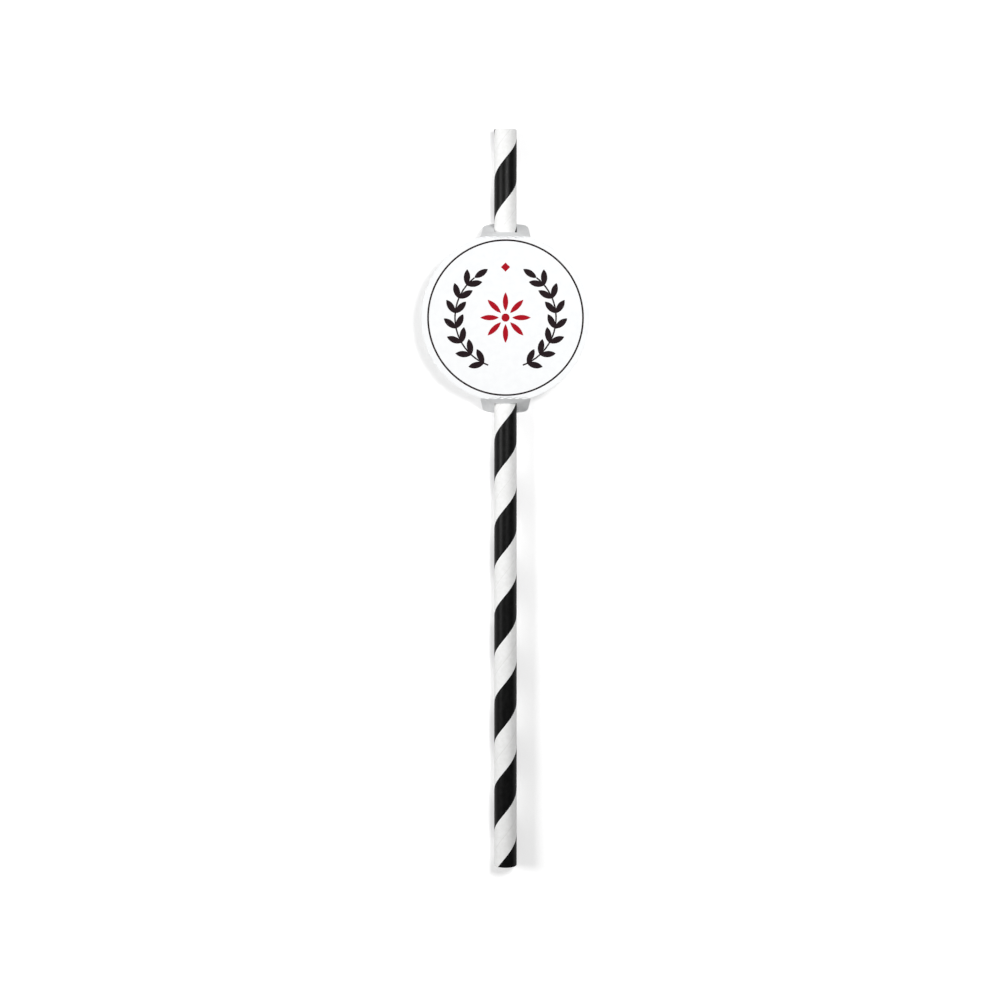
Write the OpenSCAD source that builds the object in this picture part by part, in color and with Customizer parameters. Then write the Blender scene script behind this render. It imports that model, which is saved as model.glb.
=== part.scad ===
// Paper drinking straw with a spiral stripe, and a round card medallion
// threaded on it by two folded-back tabs. The straw lies along Y with its
// top end towards +Y, the printed face of the medallion looks up (+Z), and
// the far edges of the tabs rest on the plane Z = 0.

/* [Straw] */
// Outside diameter of the wound paper tube
straw_d = 6.0; // [5:0.1:7.5]
// Thickness of the paper wall
wall_t = 0.4; // [0.3:0.05:0.6]
// Length of the tube from end to end
straw_len = 197; // [160:1:240]

/* [Spiral stripe] */
// Length of tube that one turn of the stripe takes
stripe_pitch = 23.3; // [16:0.1:36]
// Share of each turn that is black
stripe_share = 0.485; // [0.2:0.005:0.8]
// Height of the band's upper edge above the bottom end, on the front line
stripe_start = 2.7; // [0:0.1:15]

/* [Medallion] */
// Diameter of the round card
disc_d = 44.6; // [38:0.2:56]
// Thickness of the card
card_t = 0.35; // [0.25:0.05:0.5]
// Distance from the tube's top end down to the centre of the disc
disc_down = 50.5; // [34:0.1:120]
// Space between the back of the disc and the front of the tube
disc_gap = 2.4; // [1.2:0.1:4]

/* [Folded tabs] */
// Card left on each side of the hole, at the fold
tab_side = 3.6; // [2.5:0.1:5]
// Card left on each side of the hole, at the far end
tab_end_side = 2.9; // [1.5:0.1:3.5]
// Card left behind the hole
tab_back = 0.9; // [0.7:0.1:2]
// Length over which the far corners are rounded
corner_l = 2.6; // [1:0.1:3.5]
// How far a tab's far edge stands out beyond its fold
tab_reach = 3.85; // [2.5:0.05:5.5]
// Share of that reach that lies in front of the tube
front_share = 0.35; // [0.3:0.01:0.46]

/* [Perforated folds] */
// Length of each cut along the fold
cut_l = 1.2; // [0.6:0.1:1.3]
// Width of each cut
cut_w = 0.26; // [0.15:0.01:0.35]
// Distance from one cut to the next
cut_pitch = 2; // [1.8:0.05:3]

/* [Print] */
// Diameter of the thin black ring, as a share of the disc's
ring_share = 0.92; // [0.9:0.01:0.95]
// Width of the ring's line
ring_w = 0.45; // [0.3:0.05:0.8]
// Radius of the two leafy sprigs, as a share of the disc's
sprig_share = 0.6; // [0.52:0.01:0.66]
// Length of a leaf, as a share of the disc's radius
leaf_share = 0.19; // [0.14:0.01:0.22]
// Width of a leaf, as a share of its length
leaf_slim = 0.4; // [0.25:0.01:0.5]
// Leaf pairs on each sprig
leaf_pairs = 7; // [5:1:8]
// Radius of the red rosette, as a share of the disc's
rosette_share = 0.3; // [0.2:0.01:0.34]
// Petals of the rosette
petals = 8; // [6:1:10]

/* [Hidden] */
$fn = 96;
// thickness of a layer of ink
ink_t = 0.03;
// running clearance between the stripe and the holes in the tabs
fit_gap = 0.05;
// facets of the stripe in one turn
stripe_steps = 48;
straw_r = straw_d / 2;
bore_r = straw_r - wall_t;
hole_r = straw_r + ink_t + fit_gap;
axis_z = hole_r + tab_back;
// height of the middle of the disc's card
disc_z = axis_z + straw_r + disc_gap + card_t / 2;
tab_w = 2 * (hole_r + tab_side);
tab_end_w = 2 * (hole_r + tab_end_side);
// distance from the disc's centre to each fold, a chord of the circle
crease_r = sqrt(pow(disc_d / 2, 2) - pow(tab_w / 2, 2));
// cuts on each side of the middle of a fold
cut_side = floor((tab_w - cut_l) / 2 / cut_pitch + 0.3);
fold_r = 0.48 * card_t;
// how far a tab's sides start inside the ends of its fold
fold_inset = 0.05;
// middle of the disc, and the radii of its print
disc_y = straw_len / 2 - disc_down;
ring_r = ring_share * disc_d / 2;
sprig_r = sprig_share * disc_d / 2;
rosette_r = rosette_share * disc_d / 2;
leaf_l = leaf_share * disc_d / 2;
leaf_w = leaf_slim * leaf_l;

function unit(v) = v / norm(v);

// Left end of a fold; dir is 1 for the top tab and -1 for the bottom tab
function fold_end(dir) = [fold_inset - tab_w / 2, disc_y + dir * crease_r, disc_z];

// Point inside the hole where the front strip and the two wings would meet
function apex(dir) =
  let (a = fold_end(dir))
  let (grow = a[0] / (a[0] + hole_r))
  [0, a[1] + dir * front_share * tab_reach * grow, a[2] - grow * (a[2] - axis_z - hole_r)];

// Left far corner of a tab, a card's thickness below the resting plane
function far_corner(dir) = [-tab_end_w / 2, fold_end(dir)[1] + dir * tab_reach, -card_t];

// Point of the left wing's plane on the middle line, as low as the corner
function ridge_end(dir) =
  let (a = fold_end(dir))
  let (n = cross(apex(dir) - a, far_corner(dir) - a))
  [0, a[1] - (n[0] * -a[0] + n[2] * (-card_t - a[2])) / n[1], -card_t];

// Points of a rounded corner between two points, drawn in by the corner
function rounded(from, corner, to) =
  [for (t = [0 : 0.125 : 1]) pow(1 - t, 2) * from + 2 * t * (1 - t) * corner + pow(t, 2) * to];

// Flat panel of card whose corners lie in one plane, half above and half below it
module panel(corners) {
  along = unit(corners[1] - corners[0]);
  up = unit(cross(along, corners[2] - corners[0]));
  across = cross(up, along);
  flat = [for (c = corners) [(c - corners[0]) * along, (c - corners[0]) * across]];
  translate(corners[0])
  rotate([atan2(across[2], up[2]), -asin(along[2]), atan2(along[1], along[0])])
  linear_extrude(card_t, center = true)
  polygon(flat);
}

// Round bead of card along a fold line from one point to another
module bead(from, to) {
  run = to - from;
  translate(from)
  rotate([0, acos(run[2] / norm(run)), atan2(run[1], run[0])])
  cylinder(r = fold_r, h = norm(run), $fn = 12);
}

// Left wing of a tab, from the fold round the hole to the far edge
module wing(dir) {
  a = fold_end(dir);
  top = apex(dir);
  far = far_corner(dir);
  ridge = ridge_end(dir);
  side_point = far + corner_l * unit(a - far);
  rear_point = far + corner_l * unit(ridge - far);
  panel(concat([a, top, ridge], rounded(rear_point, far, side_point)));
  bead(a, top);
}

// Whole tab: front strip, two wings and the beads of its folds
module tab(dir) {
  a = fold_end(dir);
  b = [-a[0], a[1], a[2]];
  top = apex(dir);
  // the bead of the main fold stops just inside the tab's sides
  inset = [fold_r / 2, 0, 0];
  panel([a, b, top]);
  bead(a + inset, b - inset);
  bead(top, ridge_end(dir));
  wing(dir);
  mirror([1, 0, 0])
  wing(dir);
}

// Hole for the tube through both tabs: straight across its front, round behind
module tube_hole() {
  translate([0, disc_y, axis_z])
  rotate([90, 0, 0])
  linear_extrude(2 * disc_d, center = true)
  union() {
    circle(hole_r);
    translate([-hole_r, 0])
    square([2 * hole_r, hole_r]);
  }
}

// Row of cuts through a fold, square to the bend
module cuts(dir) {
  rise = front_share * tab_reach;
  drop = disc_z - axis_z - hole_r;
  bend = atan2(drop, rise);
  for (i = [1 - cut_side : cut_side])
    translate([(i - 0.5) * cut_pitch, fold_end(dir)[1], disc_z])
    rotate([-dir * bend / 2, 0, 0])
    cube([cut_l, cut_w, 4 * card_t], center = true);
}

// Pointed leaf along X from the origin, the overlap of two circles
module leaf(l, w) {
  r = (l * l + w * w) / 4 / w;
  translate([l / 2, 0])
  intersection() {
    translate([0, r - w / 2])
    circle(r);
    translate([0, w / 2 - r])
    circle(r);
  }
}

// Right-hand sprig: a curved stem with pairs of leaves and one at its tip
module sprig() {
  first = -70;
  turn = 122;
  intersection() {
    difference() {
      circle(sprig_r + 0.2);
      circle(sprig_r - 0.2);
    }
    polygon([[0, 0], for (a = [0 : 0.25 : 1]) 2 * sprig_r * [cos(first + a * turn), sin(first + a * turn)]]);
  }
  for (i = [0 : leaf_pairs - 1])
    for (lean = [-38, 38])
      rotate(first + (i + 0.3) * turn / leaf_pairs)
      translate([sprig_r, 0])
      rotate(90 + lean)
      leaf(leaf_l, leaf_w);
  rotate(first + turn)
  translate([sprig_r, 0])
  rotate(95)
  leaf(leaf_l, leaf_w);
}

module straw() {
  color("white")
  translate([0, 0, axis_z])
  rotate([-90, 0, 0])
  difference() {
    cylinder(r = straw_r, h = straw_len, center = true);
    cylinder(r = bore_r, h = straw_len + 2, center = true);
  }
}

module black_stripe() {
  // the inner face stands clear of the round tube between its corners
  inner = straw_r / cos(180 / stripe_steps) + 0.002;
  outer = straw_r + ink_t;
  first = -stripe_steps;
  last = ceil(stripe_steps * (straw_len / stripe_pitch + stripe_share)) + 1;
  count = last - first;
  band = stripe_share * stripe_pitch;
  corners = [
    for (i = [first : last])
      let (a = 360 * i / stripe_steps)
      let (high = stripe_start - straw_len / 2 + stripe_pitch * i / stripe_steps)
      for (c = [[inner, high - band], [outer, high - band], [outer, high], [inner, high]])
        [c[0] * sin(a), c[1], c[0] * cos(a)]
  ];
  sides = [
    for (i = [0 : count - 1])
      for (k = [0 : 3])
        let (p = 4 * i + k)
        let (q = 4 * i + (k + 1) % 4)
        each [[p, q, q + 4], [p, q + 4, p + 4]]
  ];
  ends = [[3, 2, 1, 0], [4 * count, 4 * count + 1, 4 * count + 2, 4 * count + 3]];
  color("black")
  translate([0, 0, axis_z])
  intersection() {
    polyhedron(corners, concat(sides, ends), convexity = 20);
    cube([2 * straw_d, straw_len, 2 * straw_d], center = true);
  }
}

module medallion() {
  color("white")
  difference() {
    union() {
      translate([0, disc_y, disc_z])
      linear_extrude(card_t, center = true)
      intersection() {
        circle(d = disc_d);
        square([disc_d, 2 * crease_r], center = true);
      }
      tab(1);
      tab(-1);
    }
    tube_hole();
    translate([0, disc_y, -card_t])
    cube([2 * tab_w, 2 * disc_d, 2 * card_t], center = true);
    cuts(1);
    cuts(-1);
  }
}

module black_print() {
  color("black")
  translate([0, disc_y, disc_z + card_t / 2])
  linear_extrude(ink_t) {
    difference() {
      circle(ring_r + ring_w / 2);
      circle(ring_r - ring_w / 2);
    }
    sprig();
    mirror([1, 0])
    sprig();
  }
}

module red_print() {
  color("crimson")
  translate([0, disc_y, disc_z + card_t / 2])
  linear_extrude(ink_t) {
    circle(0.16 * rosette_r);
    for (i = [1 : petals])
      rotate(90 + i * 360 / petals)
      translate([0.26 * rosette_r, 0])
      leaf(0.74 * rosette_r, 1.7 * rosette_r / petals);
    translate([0, sprig_r])
    rotate(45)
    square(1.7, center = true);
  }
}

straw();
black_stripe();
medallion();
black_print();
red_print();
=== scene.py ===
"""Looks of the paper straw and its card medallion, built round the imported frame.

Lengths are in metres. The straw lies along Y, and the card's printed face looks up.
"""
import math

import bmesh
import bpy
import numpy as np
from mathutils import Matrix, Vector


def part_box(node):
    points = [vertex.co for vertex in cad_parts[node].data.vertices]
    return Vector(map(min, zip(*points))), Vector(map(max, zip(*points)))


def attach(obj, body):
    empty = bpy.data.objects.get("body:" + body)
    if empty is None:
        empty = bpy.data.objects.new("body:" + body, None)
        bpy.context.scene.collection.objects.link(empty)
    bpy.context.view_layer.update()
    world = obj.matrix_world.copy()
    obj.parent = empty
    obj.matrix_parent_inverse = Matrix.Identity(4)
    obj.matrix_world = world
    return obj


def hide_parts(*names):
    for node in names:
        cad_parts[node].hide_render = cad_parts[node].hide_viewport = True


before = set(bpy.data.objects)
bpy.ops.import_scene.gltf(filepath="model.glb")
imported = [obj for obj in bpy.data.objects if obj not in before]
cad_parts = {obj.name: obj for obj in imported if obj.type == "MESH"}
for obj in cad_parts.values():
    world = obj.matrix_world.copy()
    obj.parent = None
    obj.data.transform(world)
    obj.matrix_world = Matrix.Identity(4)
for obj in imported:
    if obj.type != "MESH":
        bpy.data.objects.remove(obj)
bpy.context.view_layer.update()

# The tube, measured on its solid
TUBE_LOW, TUBE_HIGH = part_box("straw")
TUBE_R = (TUBE_HIGH.x - TUBE_LOW.x) / 2
TUBE_END = TUBE_HIGH.y
AXIS_Z = (TUBE_LOW.z + TUBE_HIGH.z) / 2
WALL = 0.0004
INK = 0.00003

# How deep the fibres of the paper and the tooth of the card go
PAPER_TOOTH = 0.00003
CARD_TOOTH = 0.00001

# The spiral: one turn's length, the black share of it, and where the band's upper edge starts
PITCH = 0.0233
BLACK_SHARE = 0.485
BAND_START = 0.0027
SEAM_SHARE = (1 - BLACK_SHARE) / 2

# The disc, measured on the card's solid: its radius, centre and middle surface
CARD_LOW, CARD_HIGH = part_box("medallion")
CARD_T = 0.00035
DISC_R = (CARD_HIGH.x - CARD_LOW.x) / 2
DISC_Y = (CARD_LOW.y + CARD_HIGH.y) / 2
DISC_Z = CARD_HIGH.z - CARD_T / 2

# The hole in a tab, with its room round the ink
HOLE_ROOM = 0.00005
HOLE_R = TUBE_R + INK + HOLE_ROOM

# A tab: the card beside the hole at its fold and its far end, and how far in its planes start
TAB_SIDE = 0.0036
TAB_END_SIDE = 0.0029
FOLD_HALF = HOLE_R + TAB_SIDE
FOLD_INSET = 0.00005
TAB_END_HALF = HOLE_R + TAB_END_SIDE
FOLD_Y = math.sqrt(DISC_R ** 2 - FOLD_HALF ** 2)

# How far it leans out, the front strip's share of that, and the length of its rounded corners
TAB_REACH = 0.00385
FRONT_SHARE = 0.35
CORNER = 0.0026

# The perforation cuts, and how many lie on each side of the fold's middle
CUT_L = 0.0012
CUT_W = 0.00030
CUT_PITCH = 0.002
CUTS_HALF = 3

# Points along a fold, in the disc's outline and the tab's alike
FOLD_STEPS = 269


# Shader helpers

class Graph:
    """Adds nodes to one node tree and links them."""

    def __init__(self, tree):
        self.tree = tree

    def add(self, kind, inputs=(), **settings):
        node = self.tree.nodes.new(kind)
        for name, value in settings.items():
            setattr(node, name, value)
        for key, value in dict(inputs).items():
            socket = node.inputs[key]
            if isinstance(value, bpy.types.NodeSocket):
                self.tree.links.new(value, socket)
            else:
                socket.default_value = value
        return node

    def math(self, operation, *values):
        return self.add("ShaderNodeMath", dict(enumerate(values)), operation=operation).outputs[0]

    def ramp(self, value, low, high, out_low=0.0, out_high=1.0):
        """Value from low..high carried smoothly to out_low..out_high."""
        sockets = {"Value": value, "From Min": low, "From Max": high}
        sockets.update({"To Min": out_low, "To Max": out_high})
        return self.add("ShaderNodeMapRange", sockets, interpolation_type="SMOOTHSTEP").outputs[0]

    def noise(self, vector, scale, detail, roughness):
        sockets = {"Vector": vector, "Scale": scale, "Detail": detail, "Roughness": roughness}
        return self.add("ShaderNodeTexNoise", sockets).outputs["Fac"]

    def mix(self, mask, a, b):
        sockets = {"Factor": mask, "A": a, "B": b}
        return self.add("ShaderNodeMix", sockets, data_type="RGBA").outputs["Result"]

    def mottle(self, cloud, dark, pale, low=0.3, high=0.7):
        """Colour that goes from dark to pale with the sheet's cloud."""
        return self.mix(self.ramp(cloud, low, high), (*dark, 1.0), (*pale, 1.0))

    def group(self, tree, **values):
        node = self.add("ShaderNodeGroup", node_tree=tree)
        for name, value in values.items():
            node.inputs[name.replace("_", " ")].default_value = value
        return node

    def bump(self, height, strength, distance):
        sockets = {"Height": height, "Strength": strength, "Distance": distance}
        return self.add("ShaderNodeBump", sockets).outputs["Normal"]


def new_group(name, inputs, outputs):
    """Empty shader node group with number sockets, its graph, and its two ends."""
    tree = bpy.data.node_groups.new(name, "ShaderNodeTree")
    for label, value in inputs.items():
        socket = tree.interface.new_socket(label, in_out="INPUT", socket_type="NodeSocketFloat")
        socket.default_value = value
    for label in outputs:
        tree.interface.new_socket(label, in_out="OUTPUT", socket_type="NodeSocketFloat")
    graph = Graph(tree)
    return tree, graph, graph.add("NodeGroupInput").outputs, graph.add("NodeGroupOutput").inputs


def spiral_group():
    """Phase: the share of a turn, 0 to 1, by which a point lies above the band's upper edge.

    It is the fraction of (height / pitch - angle / full turn). Four turns more keep it above zero.
    """
    tree, g, _, out = new_group("spiral_phase", {}, ["Phase"])
    here = g.add("ShaderNodeTexCoord").outputs["Object"]
    place = g.add("ShaderNodeSeparateXYZ", {"Vector": here}).outputs
    angle = g.math("ARCTAN2", place["X"], g.math("SUBTRACT", place["Z"], AXIS_Z))
    along = g.math("DIVIDE", g.math("ADD", place["Y"], TUBE_END - BAND_START + 4 * PITCH), PITCH)
    phase = g.math("FRACT", g.math("SUBTRACT", along, g.math("DIVIDE", angle, math.tau)))
    tree.links.new(phase, out["Phase"])
    return tree


def fibre_group():
    """Fibre is a fine wandering height and Cloud the slow mottle of the sheet, both about 0.5."""
    scales = {"Fibre scale": 6000.0, "Cloud scale": 900.0}
    tree, g, given, out = new_group("paper_fibre", scales, ["Fibre", "Cloud"])
    here = g.add("ShaderNodeTexCoord").outputs["Object"]
    coarse = {"Vector": here, "Scale": 1500.0, "Detail": 1.0}
    wander = g.add("ShaderNodeTexNoise", coarse).outputs["Color"]
    wander = g.add("ShaderNodeVectorMath", {0: wander, "Scale": 0.0004}, operation="SCALE").outputs[0]
    warped = g.add("ShaderNodeVectorMath", {0: here, 1: wander}, operation="ADD").outputs[0]
    tree.links.new(g.noise(warped, given["Fibre scale"], 4.0, 0.62), out["Fibre"])
    tree.links.new(g.noise(here, given["Cloud scale"], 3.0, 0.6), out["Cloud"])
    return tree


SPIRAL = spiral_group()
FIBRE = fibre_group()


def new_material(name, color, roughness, specular):
    """A Principled material, its graph, and a function that links a value to one of its sockets."""
    material = bpy.data.materials.new(name)
    material.use_nodes = True
    bsdf = material.node_tree.nodes["Principled BSDF"]
    bsdf.inputs["Base Color"].default_value = (*color, 1.0)
    bsdf.inputs["Roughness"].default_value = roughness
    bsdf.inputs["Specular IOR Level"].default_value = specular

    def link(value, socket):
        material.node_tree.links.new(value, bsdf.inputs[socket])

    return material, Graph(material.node_tree), link


def wound_paper():
    """White uncoated paper, cloudy and fibrous, with a grey line of painted shade along the groove where
    the outer ply's edges meet.
    """
    material, g, link = new_material("wound_paper", (0.9, 0.9, 0.89), 0.8, 0.25)
    fibre = g.group(FIBRE).outputs
    phase = g.group(SPIRAL).outputs["Phase"]
    # Painted shade: a grey line along the outer ply's seam, standing for the shade in its groove
    seam_shade_mask = g.ramp(g.math("ABSOLUTE", g.math("SUBTRACT", phase, SEAM_SHARE)), 0.0, 0.008, 0.3, 0.0)
    base = g.mottle(fibre["Cloud"], (0.88, 0.88, 0.87), (0.935, 0.935, 0.93))
    link(g.mix(seam_shade_mask, base, (0.55, 0.54, 0.52, 1.0)), "Base Color")
    link(g.bump(fibre["Fibre"], 0.5, PAPER_TOOTH), "Normal")
    return material


def stripe_ink():
    """Black ink in the paper's surface, with pale fibres standing through it and a faint sheen."""
    material, g, link = new_material("stripe_ink", (0.005, 0.005, 0.005), 0.4, 0.13)
    fibre = g.group(FIBRE).outputs
    bare = g.ramp(fibre["Fibre"], 0.58, 0.72, 0.0, 0.06)
    base = g.mottle(fibre["Cloud"], (0.003, 0.003, 0.003), (0.006, 0.006, 0.006))
    link(g.mix(bare, base, (0.25, 0.25, 0.25, 1.0)), "Base Color")
    link(g.ramp(fibre["Cloud"], 0.3, 0.7, 0.34, 0.42), "Roughness")
    link(g.bump(fibre["Fibre"], 0.6, PAPER_TOOTH), "Normal")
    return material


def coated_card():
    """Smooth white card, faintly blue, with a very fine tooth."""
    material, g, link = new_material("coated_card", (0.92, 0.93, 0.94), 0.6, 0.25)
    fibre = g.group(FIBRE, Fibre_scale=9000.0, Cloud_scale=500.0).outputs
    link(g.mottle(fibre["Cloud"], (0.905, 0.915, 0.925), (0.935, 0.945, 0.95)), "Base Color")
    link(g.bump(fibre["Fibre"], 0.25, CARD_TOOTH), "Normal")
    return material


def print_ink(name, color, pale):
    """Offset ink on the card, with a slight unevenness in its cover."""
    material, g, link = new_material(name, color, 0.6, 0.08)
    fibre = g.group(FIBRE, Fibre_scale=9000.0, Cloud_scale=2500.0).outputs
    link(g.mottle(fibre["Cloud"], color, pale, 0.35, 0.8), "Base Color")
    link(g.bump(fibre["Fibre"], 0.25, CARD_TOOTH), "Normal")
    return material


# Mesh helpers

def grid_faces(rows, columns, closed_rows, closed_columns):
    """Corners of the quads between neighbours of a rows by columns grid.

    Either direction may join its end to its start.
    """
    index = np.arange(rows * columns).reshape(rows, columns)
    if closed_rows:
        index = np.concatenate([index, index[:1]])
    if closed_columns:
        index = np.concatenate([index, index[:, :1]], axis=1)
    corners = [index[:-1, :-1], index[:-1, 1:], index[1:, 1:], index[1:, :-1]]
    return np.stack(corners, axis=-1).reshape(-1, 4)


def new_piece(name, points, faces, material):
    """Smooth-shaded object whose meeting points are merged and whose faces look outwards."""
    mesh = bpy.data.meshes.new(name)
    mesh.from_pydata(points.reshape(-1, 3).tolist(), [], faces.tolist())
    shape = bmesh.new()
    shape.from_mesh(mesh)
    bmesh.ops.remove_doubles(shape, verts=shape.verts, dist=1e-7)
    bmesh.ops.recalc_face_normals(shape, faces=shape.faces)
    shape.to_mesh(mesh)
    shape.free()
    mesh.polygons.foreach_set("use_smooth", np.ones(len(mesh.polygons), dtype=bool))
    mesh.update()
    mesh.materials.append(material)
    piece = bpy.data.objects.new(name, mesh)
    bpy.context.scene.collection.objects.link(piece)
    return piece


def round_tube(radius, along, angles):
    """Points about the tube's axis: x = r sin a, z = axis + r cos a, y as given."""
    x = radius * np.sin(angles)
    z = AXIS_Z + radius * np.cos(angles)
    return np.stack([x, along + 0 * angles, z], axis=-1)


def smooth(value):
    """Smooth step of a value held between 0 and 1."""
    held = np.clip(value, 0.0, 1.0)
    return held * held * (3 - 2 * held)


# The straw

def wound_tube():
    """Tube with the seam of its outer ply, its rims a quarter round inside and out.

    The rows stand a turn's pitch over the number of columns apart, so the seam's spiral runs through
    the grid's diagonal. There the radius falls by the groove's depth, in a notch one column wide.
    """
    columns = 96
    inside_rows = 70
    rim_steps = 5
    rim = 0.00007
    groove = 0.00003
    step = PITCH / columns
    turn = np.linspace(0, math.pi / 2, rim_steps)
    sine, cosine = np.sin(turn), np.cos(turn)
    inner = TUBE_R - WALL
    low, high = -TUBE_END + rim, TUBE_END - rim
    rows_out = np.arange(-TUBE_END + BAND_START + SEAM_SHARE * PITCH - 40 * step, high, step)
    rows_out = rows_out[rows_out > low + 0.2 * step]
    rows_out = np.concatenate([[low], rows_out, [high]])
    radius = np.concatenate([
        np.full(len(rows_out), TUBE_R),
        TUBE_R - rim + rim * cosine[1:],
        inner + rim - rim * sine[:-1],
        np.full(inside_rows, inner),
        inner + rim - rim * cosine[1:],
        TUBE_R - rim + rim * sine[:-1],
    ])
    along = np.concatenate([
        rows_out,
        high + rim * sine[1:],
        high + rim * cosine[:-1],
        np.linspace(high, low, inside_rows),
        low - rim * sine[1:],
        low - rim * cosine[:-1],
    ])
    angles = np.linspace(0, math.tau, columns, endpoint=False)[None, :]
    radius = np.repeat(radius[:, None], columns, axis=1)
    along = np.repeat(along[:, None], columns, axis=1)
    phase = (along + TUBE_END - BAND_START) / PITCH - angles / math.tau - SEAM_SHARE
    from_seam = (phase - np.round(phase)) * columns
    outside = np.arange(len(radius))[:, None] < len(rows_out)
    radius = radius - outside * groove * np.clip(1 - np.abs(from_seam), 0, 1)
    points = round_tube(radius, along, angles)
    faces = grid_faces(*radius.shape, True, True)
    tube = new_piece("wound_tube", points, faces, wound_paper())
    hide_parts("straw")
    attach(tube, "straw")


def printed_band():
    """Band of ink: a shallow section across it, carried up the spiral.

    Its edges are held at the tube's ends, which cuts it square there. The section is given as shares
    of the way across and lifts off the paper in thicknesses of ink; its back lies in the paper.
    """
    steps = 1001
    first = -BAND_START * math.tau / PITCH
    last = (2 * TUBE_END - BAND_START + BLACK_SHARE * PITCH) * math.tau / PITCH
    angles = np.linspace(first, last, steps)[:, None]
    high = -TUBE_END + BAND_START + PITCH * angles / math.tau
    low = np.maximum(high - BLACK_SHARE * PITCH, -TUBE_END)
    high = np.minimum(high, TUBE_END)
    across = np.array([0.0, 0.0, 0.02, 0.1, 0.25, 0.4, 0.5, 0.6, 0.75, 0.9, 0.98, 1.0, 1.0, 0.5])
    lift = np.array([-1.0, 0.3, 0.8, 1.0, 1.0, 1.0, 1.0, 1.0, 1.0, 1.0, 0.8, 0.3, -1.0, -1.0])
    points = round_tube((TUBE_R + INK * lift)[None, :], low + (high - low) * across[None, :], angles)
    rows, columns = points.shape[:2]
    faces = grid_faces(rows, columns, False, True)
    band = new_piece("printed_band", points, faces, stripe_ink())
    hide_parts("black_stripe")
    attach(band, "straw")


# The card

def in_cut(x):
    """1 where a perforation cut crosses the fold and 0 on the ties between cuts."""
    soft = 0.00008
    from_cut = np.abs(x / CUT_PITCH % 1 - 0.5) * CUT_PITCH
    return smooth((CUT_L / 2 - from_cut) / soft + 0.5) * (np.abs(x) < CUTS_HALF * CUT_PITCH)


def edge_section(face_steps, edge_steps=5):
    """Section of a sheet from its inner edge over the front to the outer edge and back behind.

    Four arrays: share of the way out, pull outwards in edge radii, side of the sheet's middle, and
    drop from the face in edge radii.
    """
    turn = np.linspace(0, math.pi / 2, edge_steps)
    out = np.linspace(0, 1, face_steps)
    edge = np.ones(edge_steps - 1)
    bend = np.concatenate([np.sin(turn[1:]), np.cos(turn[:-1])])
    fall = np.concatenate([1 - np.cos(turn[1:]), 1 - np.sin(turn[:-1])])
    share = np.concatenate([out, edge, edge, out[::-1], 0 * edge, 0 * edge])
    pull = np.concatenate([1 - 2 * out, bend - 1, 2 * out - 1, 1 - bend])
    side = np.concatenate([0 * out + 1, edge, -edge, 0 * out - 1, -edge, edge])
    drop = np.concatenate([0 * out, fall, 0 * out, fall])
    return share, pull, side, drop


def punched_disc():
    """Points and faces of the round part: a plate with chords for folds, carried out from its middle.

    Outline: the circle, and chords that stand half a card beyond the folds. The rim is set back at
    each cut. Its edge is a quarter round: half a card in radius on the ties, crisp elsewhere. Rings
    of points stand at shares of the outline, then just inside the edge's round, then over it.
    """
    arc_steps = 181
    edge_steps = 6
    ring_shares = [0.0, 0.4, 0.8, 0.96]
    inside_round = 1.02
    crisp = 0.00005
    fold_x = np.linspace(-FOLD_HALF, FOLD_HALF, FOLD_STEPS)[1:-1]
    cut = in_cut(fold_x)
    corner = math.atan2(FOLD_Y, FOLD_HALF)
    arc = np.linspace(-corner, corner, arc_steps)
    round_side = np.stack([np.cos(arc), np.sin(arc)])
    chord = np.stack([fold_x, np.full(len(fold_x), FOLD_Y + CARD_T / 2)])
    up = np.stack([0 * fold_x, np.ones(len(fold_x))])
    half = np.concatenate([DISC_R * round_side, chord[:, ::-1]], axis=1)
    outline = np.concatenate([half, -half], axis=1)
    away = np.concatenate([round_side, up, -round_side, -up], axis=1)
    tie = crisp + (1 - cut) * (CARD_T / 2 - crisp)
    radius = np.tile(np.concatenate([np.full(arc_steps, crisp), tie]), 2)
    setback = np.tile(np.concatenate([np.zeros(arc_steps), cut]), 2) * (CARD_T + CUT_W) / 2
    turn = np.linspace(0, math.pi / 2, edge_steps)[:, None]
    share = np.array(ring_shares)[:, None, None]
    depth = setback + radius * np.concatenate([[[inside_round]], 1 - np.sin(turn)])
    out = np.concatenate([share * outline, outline - depth[:, None, :] * away])
    height = CARD_T / 2 - radius * np.concatenate([np.zeros((len(share) + 1, 1)), 1 - np.cos(turn)])
    out = np.concatenate([out, out[::-1]])
    height = np.concatenate([height, -height[::-1]])
    points = np.stack([out[:, 0], DISC_Y + out[:, 1], DISC_Z + height], axis=-1)
    return points, grid_faces(*points.shape[:2], False, True)


def lean(x, z):
    """How far a tab's middle surface stands out beyond its fold behind the disc, and its two slopes.

    Three planes, the front strip and the two wings, are joined by a soft minimum, the logarithm of
    the sum of their exponentials, so that the creases are round.
    """
    drop = DISC_Z - AXIS_Z - HOLE_R
    end = FOLD_HALF - FOLD_INSET
    grow = end / (end - HOLE_R)
    tip_out, tip_down = FRONT_SHARE * TAB_REACH * grow, drop * grow
    below = DISC_Z + CARD_T
    inward = end - TAB_END_HALF
    wing_down = (TAB_REACH * end - tip_out * inward) / (below * end - tip_down * inward)
    wing_in = (tip_out - wing_down * tip_down) / end
    down = DISC_Z - z
    planes = np.stack([down * tip_out / tip_down, wing_in * (end - x) + wing_down * down,
                       wing_in * (end + x) + wing_down * down])
    soft = 0.00006
    least = planes.min(axis=0)
    weight = np.exp(-(planes - least) / soft)
    total = weight.sum(axis=0)
    slope_x = (weight[2] - weight[1]) * wing_in / total
    slope_z = -(weight[0] * tip_out / tip_down + (weight[1] + weight[2]) * wing_down) / total
    return least - soft * np.log(total), slope_x, slope_z


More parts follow.
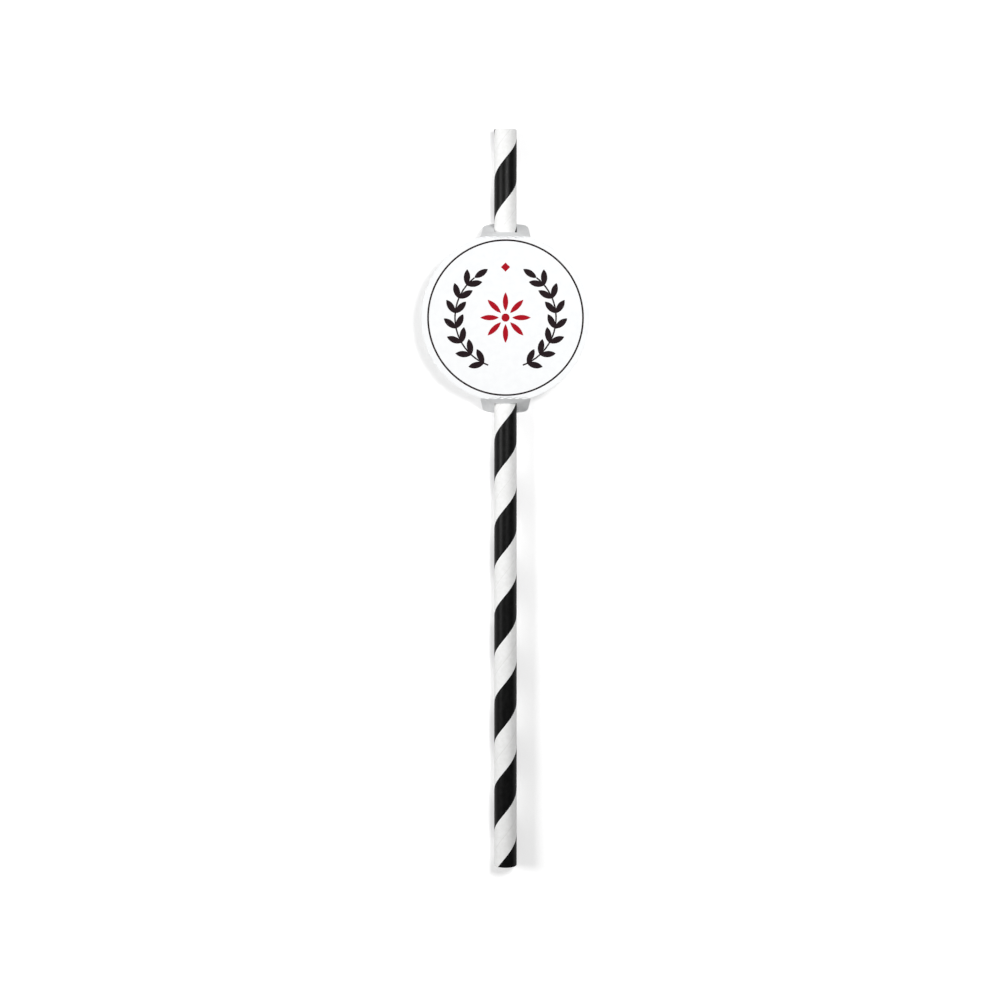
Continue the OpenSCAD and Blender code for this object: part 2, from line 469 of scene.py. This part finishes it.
def tab_outline():
    """Outline of a tab seen along the tube, from the fold's left end round by the right side.

    Fold: level, set down at each cut. Sides: straight, narrowing. Far corners: quadratic curves.
    Far edge: on Z = 0.
    """
    side_steps = 25
    far_steps = 31
    fold_x = np.linspace(-FOLD_HALF, FOLD_HALF, FOLD_STEPS)
    fold_z = DISC_Z - in_cut(fold_x) * CUT_W / 2
    side = np.array([TAB_END_HALF - FOLD_HALF, -CARD_T - DISC_Z])
    far = np.array([TAB_END_HALF, -CARD_T])
    before = far - CORNER * side / np.hypot(*side)
    after = far - np.array([CORNER, 0.0])
    t = np.linspace(0, 1, side_steps)[1:, None]
    straight = np.array([FOLD_HALF, DISC_Z]) * (1 - t) + before * t
    bend = (1 - t) ** 2 * before + 2 * t * (1 - t) * far + t ** 2 * after
    right = np.concatenate([straight, bend])
    right[:, 1] = np.maximum(right[:, 1], 0.0)
    edge_x = np.linspace(right[-1, 0], -right[-1, 0], far_steps)[1:-1]
    left = right[::-1] * np.array([-1, 1])
    x = np.concatenate([fold_x, right[:, 0], edge_x, left[:, 0]])
    z = np.concatenate([fold_z, right[:, 1], 0 * edge_x, left[:, 1]])
    return x, z


def hole_reach(x, z):
    """How far the hole's edge lies from the tube's axis towards a place.

    It is a half circle behind and, in front, the half of the square round that circle.
    """
    reach = np.hypot(x, z - AXIS_Z)
    return HOLE_R * reach / np.where(z > AXIS_Z, np.maximum(np.abs(x), z - AXIS_Z), reach)


def folded_tab(way):
    """Points and faces of one tab: a sheet over the plane across the tube, from the hole to the outline.

    The sheet's two faces stand half a card off its middle surface: along the tube over most of it,
    and square to the strip at the fold. A way of 1 gives the upper tab and of -1 the lower one.
    """
    face_steps = 26
    crisp = 0.00004
    bend = 0.0006
    x, z = tab_outline()
    x, z = x[None, :], z[None, :]
    reach = np.hypot(x, z - AXIS_Z)
    share, pull, side, drop = (part[:, None] for part in edge_section(face_steps))
    hole = hole_reach(x, z)
    out = hole + share * (reach - hole) + pull * crisp
    px, pz = out * x / reach, AXIS_Z + out * (z - AXIS_Z) / reach
    stand, slope_x, slope_z = lean(px, pz)
    steep = np.sqrt(1 + slope_x ** 2 + slope_z ** 2)
    half = side * (CARD_T / 2 - drop * crisp)
    near_fold = smooth((pz - DISC_Z + bend) / bend)
    along = half * ((1 - near_fold) * steep + near_fold / steep)
    up = half * near_fold * -slope_z / steep
    over = half * near_fold * -slope_x / steep
    py = DISC_Y + way * (FOLD_Y + stand + along)
    points = np.stack([px + over, py, np.maximum(pz + up, 0.0)], axis=-1)
    return points, grid_faces(*points.shape[:2], True, True)


def punched_card():
    """The medallion in one piece: the disc and its two folded tabs."""
    material = coated_card()
    parts = [punched_disc(), folded_tab(1), folded_tab(-1)]
    points = [part[0].reshape(-1, 3) for part in parts]
    starts = np.cumsum([0] + [len(part) for part in points])
    faces = np.concatenate([part[1] + start for part, start in zip(parts, starts)])
    card = new_piece("punched_card", np.concatenate(points), faces, material)
    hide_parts("medallion")
    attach(card, "medallion")


def dress(node, material):
    """Gives a carried-over solid its material."""
    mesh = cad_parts[node].data
    mesh.materials.clear()
    mesh.materials.append(material)


wound_tube()
printed_band()
punched_card()
dress("black_print", print_ink("black_offset_ink", (0.012, 0.005, 0.007), (0.022, 0.012, 0.014)))
dress("red_print", print_ink("red_offset_ink", (0.39, 0.001, 0.010), (0.44, 0.004, 0.016)))


# The stage

def lamp(name, place, aim, size, watts):
    """Round soft lamp at a place, turned to its aim."""
    data = bpy.data.lights.new(name, "AREA")
    data.shape = "DISK"
    data.size = size
    data.energy = watts
    light = bpy.data.objects.new(name, data)
    bpy.context.scene.collection.objects.link(light)
    light.location = place
    light.rotation_euler = (Vector(aim) - Vector(place)).to_track_quat("-Z", "Y").to_euler()


def stage():
    """White floor, faint world, a soft lamp on the left and a smaller one nearly overhead on the right.

    The camera alone sees the floor glow, least near the straw, so that its shadows stay.
    """
    bpy.ops.mesh.primitive_plane_add(size=6.0, location=(0, 0, 0))
    floor = bpy.context.object
    floor.name = "floor"
    material, g, link = new_material("floor_white", (0.9, 0.9, 0.9), 0.9, 0.0)
    seen = g.add("ShaderNodeLightPath").outputs["Is Camera Ray"]
    here = g.add("ShaderNodeTexCoord").outputs["Object"]
    away = g.add("ShaderNodeVectorMath", {0: here}, operation="LENGTH").outputs["Value"]
    link(g.math("MULTIPLY", seen, g.ramp(away, 0.05, 0.4, 0.34, 0.95)), "Emission Strength")
    material.node_tree.nodes["Principled BSDF"].inputs["Emission Color"].default_value = (1, 1, 1, 1)
    floor.data.materials.append(material)
    world = bpy.data.worlds.new("world")
    bpy.context.scene.world = world
    world.use_nodes = True
    w = Graph(world.node_tree)
    sky = w.add("ShaderNodeLightPath").outputs["Is Camera Ray"]
    strength = w.add("ShaderNodeMapRange", {"Value": sky, "To Min": 0.09, "To Max": 1.0}).outputs[0]
    background = world.node_tree.nodes["Background"]
    background.inputs["Color"].default_value = (1, 1, 1, 1)
    world.node_tree.links.new(strength, background.inputs["Strength"])
    lamp("left_lamp", (-0.463, 0.045, 0.393), (0, 0.05, 0), 0.2, 1.96)
    lamp("top_lamp", (0.086, 0.088, 0.318), (0, 0.06, 0), 0.09, 0.69)


def camera():
    """Camera looking straight down on the disc's lower part, its frame shifted towards the lower end."""
    data = bpy.data.cameras.new("camera")
    data.lens = 65.0
    data.clip_start = 0.01
    data.shift_y = -0.145
    view = bpy.data.objects.new("camera", data)
    bpy.context.scene.collection.objects.link(view)
    view.location = (-0.00146, 0.0381, AXIS_Z + 0.4839)
    bpy.context.scene.camera = view


stage()
camera()
bpy.context.scene.view_settings.view_transform = "Standard"
